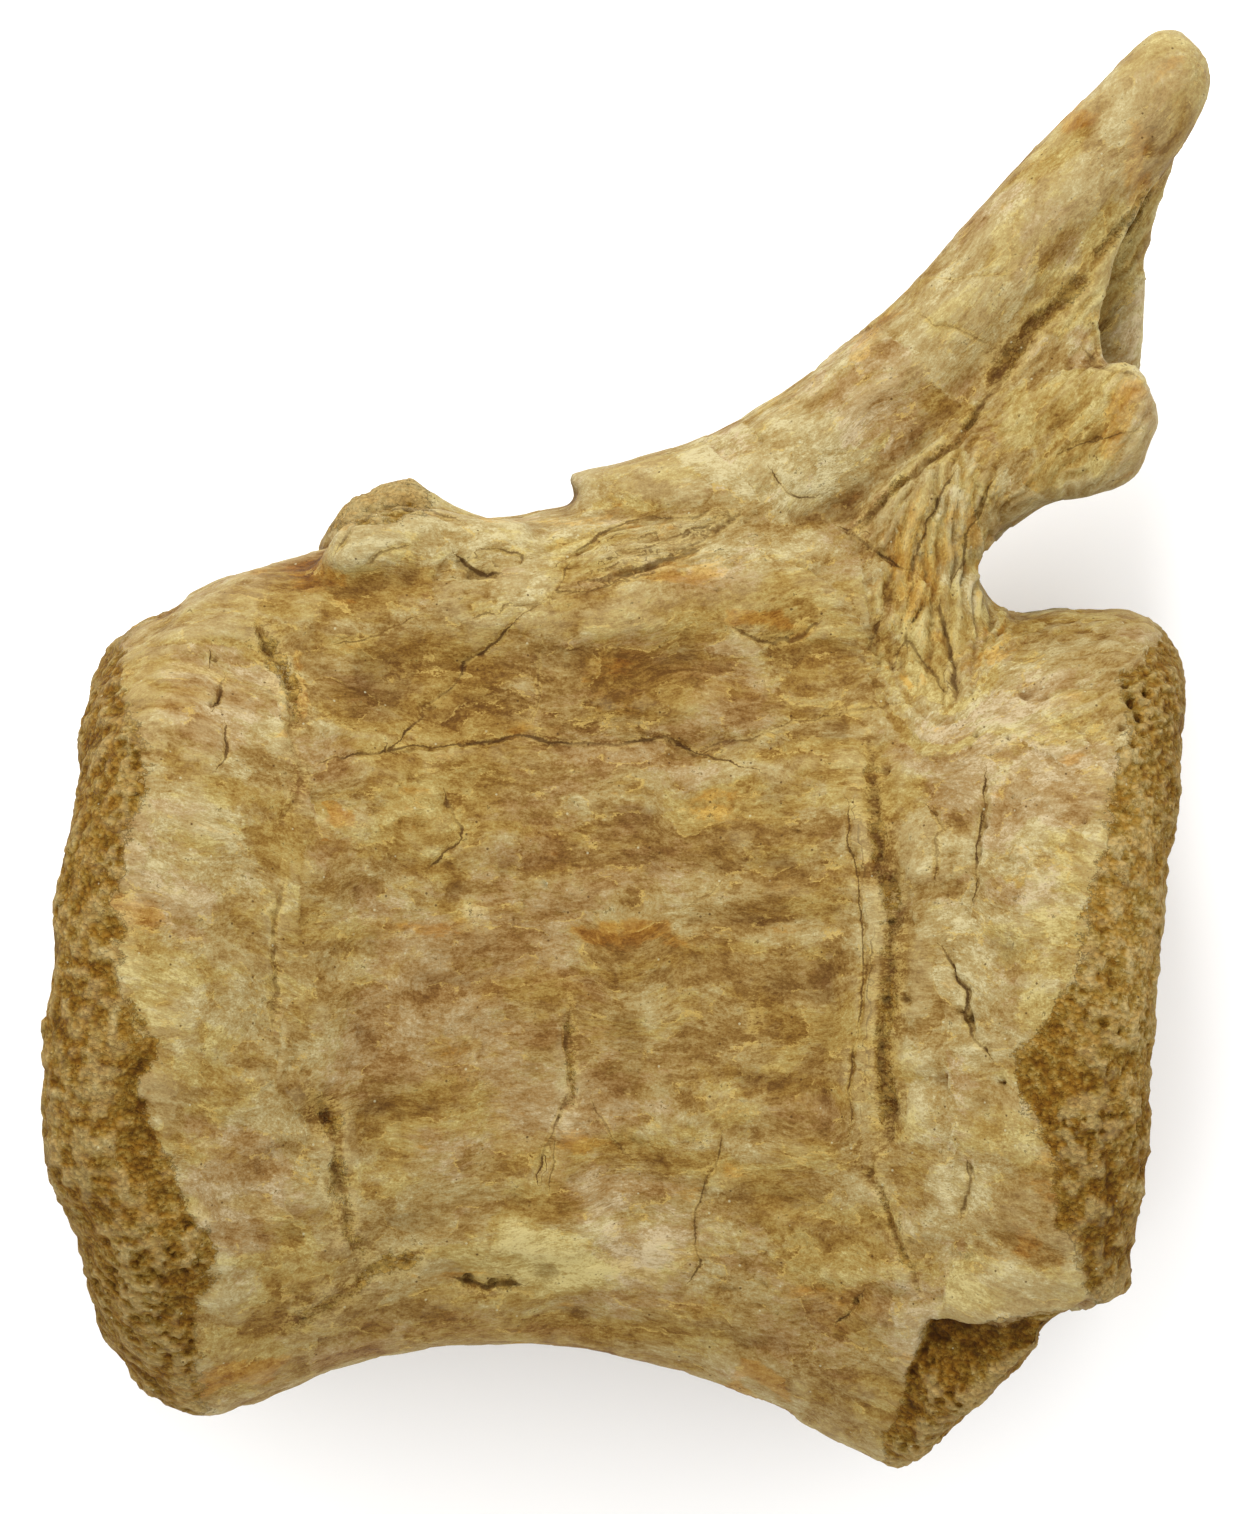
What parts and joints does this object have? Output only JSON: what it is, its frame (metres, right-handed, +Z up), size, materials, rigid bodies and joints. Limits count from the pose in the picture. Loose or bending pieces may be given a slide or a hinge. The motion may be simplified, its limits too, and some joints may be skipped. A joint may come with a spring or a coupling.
{
  "type": "fossil dinosaur tail vertebra",
  "caption": "Fossil tail bone: a waisted spool with dished ends, an arch over a lengthwise canal, a long swept-back spine and broken processes, lying on its side.",
  "frame": {"origin": "centre of the bounding box in X and Y, on the ground under the two worn flats of the right flank", "axes": "+X towards the tail end of the bone, +Y towards the tip of the neural spine, +Z up, out of the left flank"},
  "size_m": [0.129, 0.1592, 0.0744],
  "materials": {
    "fossil_bone": "dry ochre and tan mineralised bone: finely striated cream to mauve-tan flanks, spongy brown worn rims, dark cracks, matt to faintly waxy"
  },
  "bodies": {
    "root": {"vertebra": "fossil_bone"}
  },
  "joints": []
}
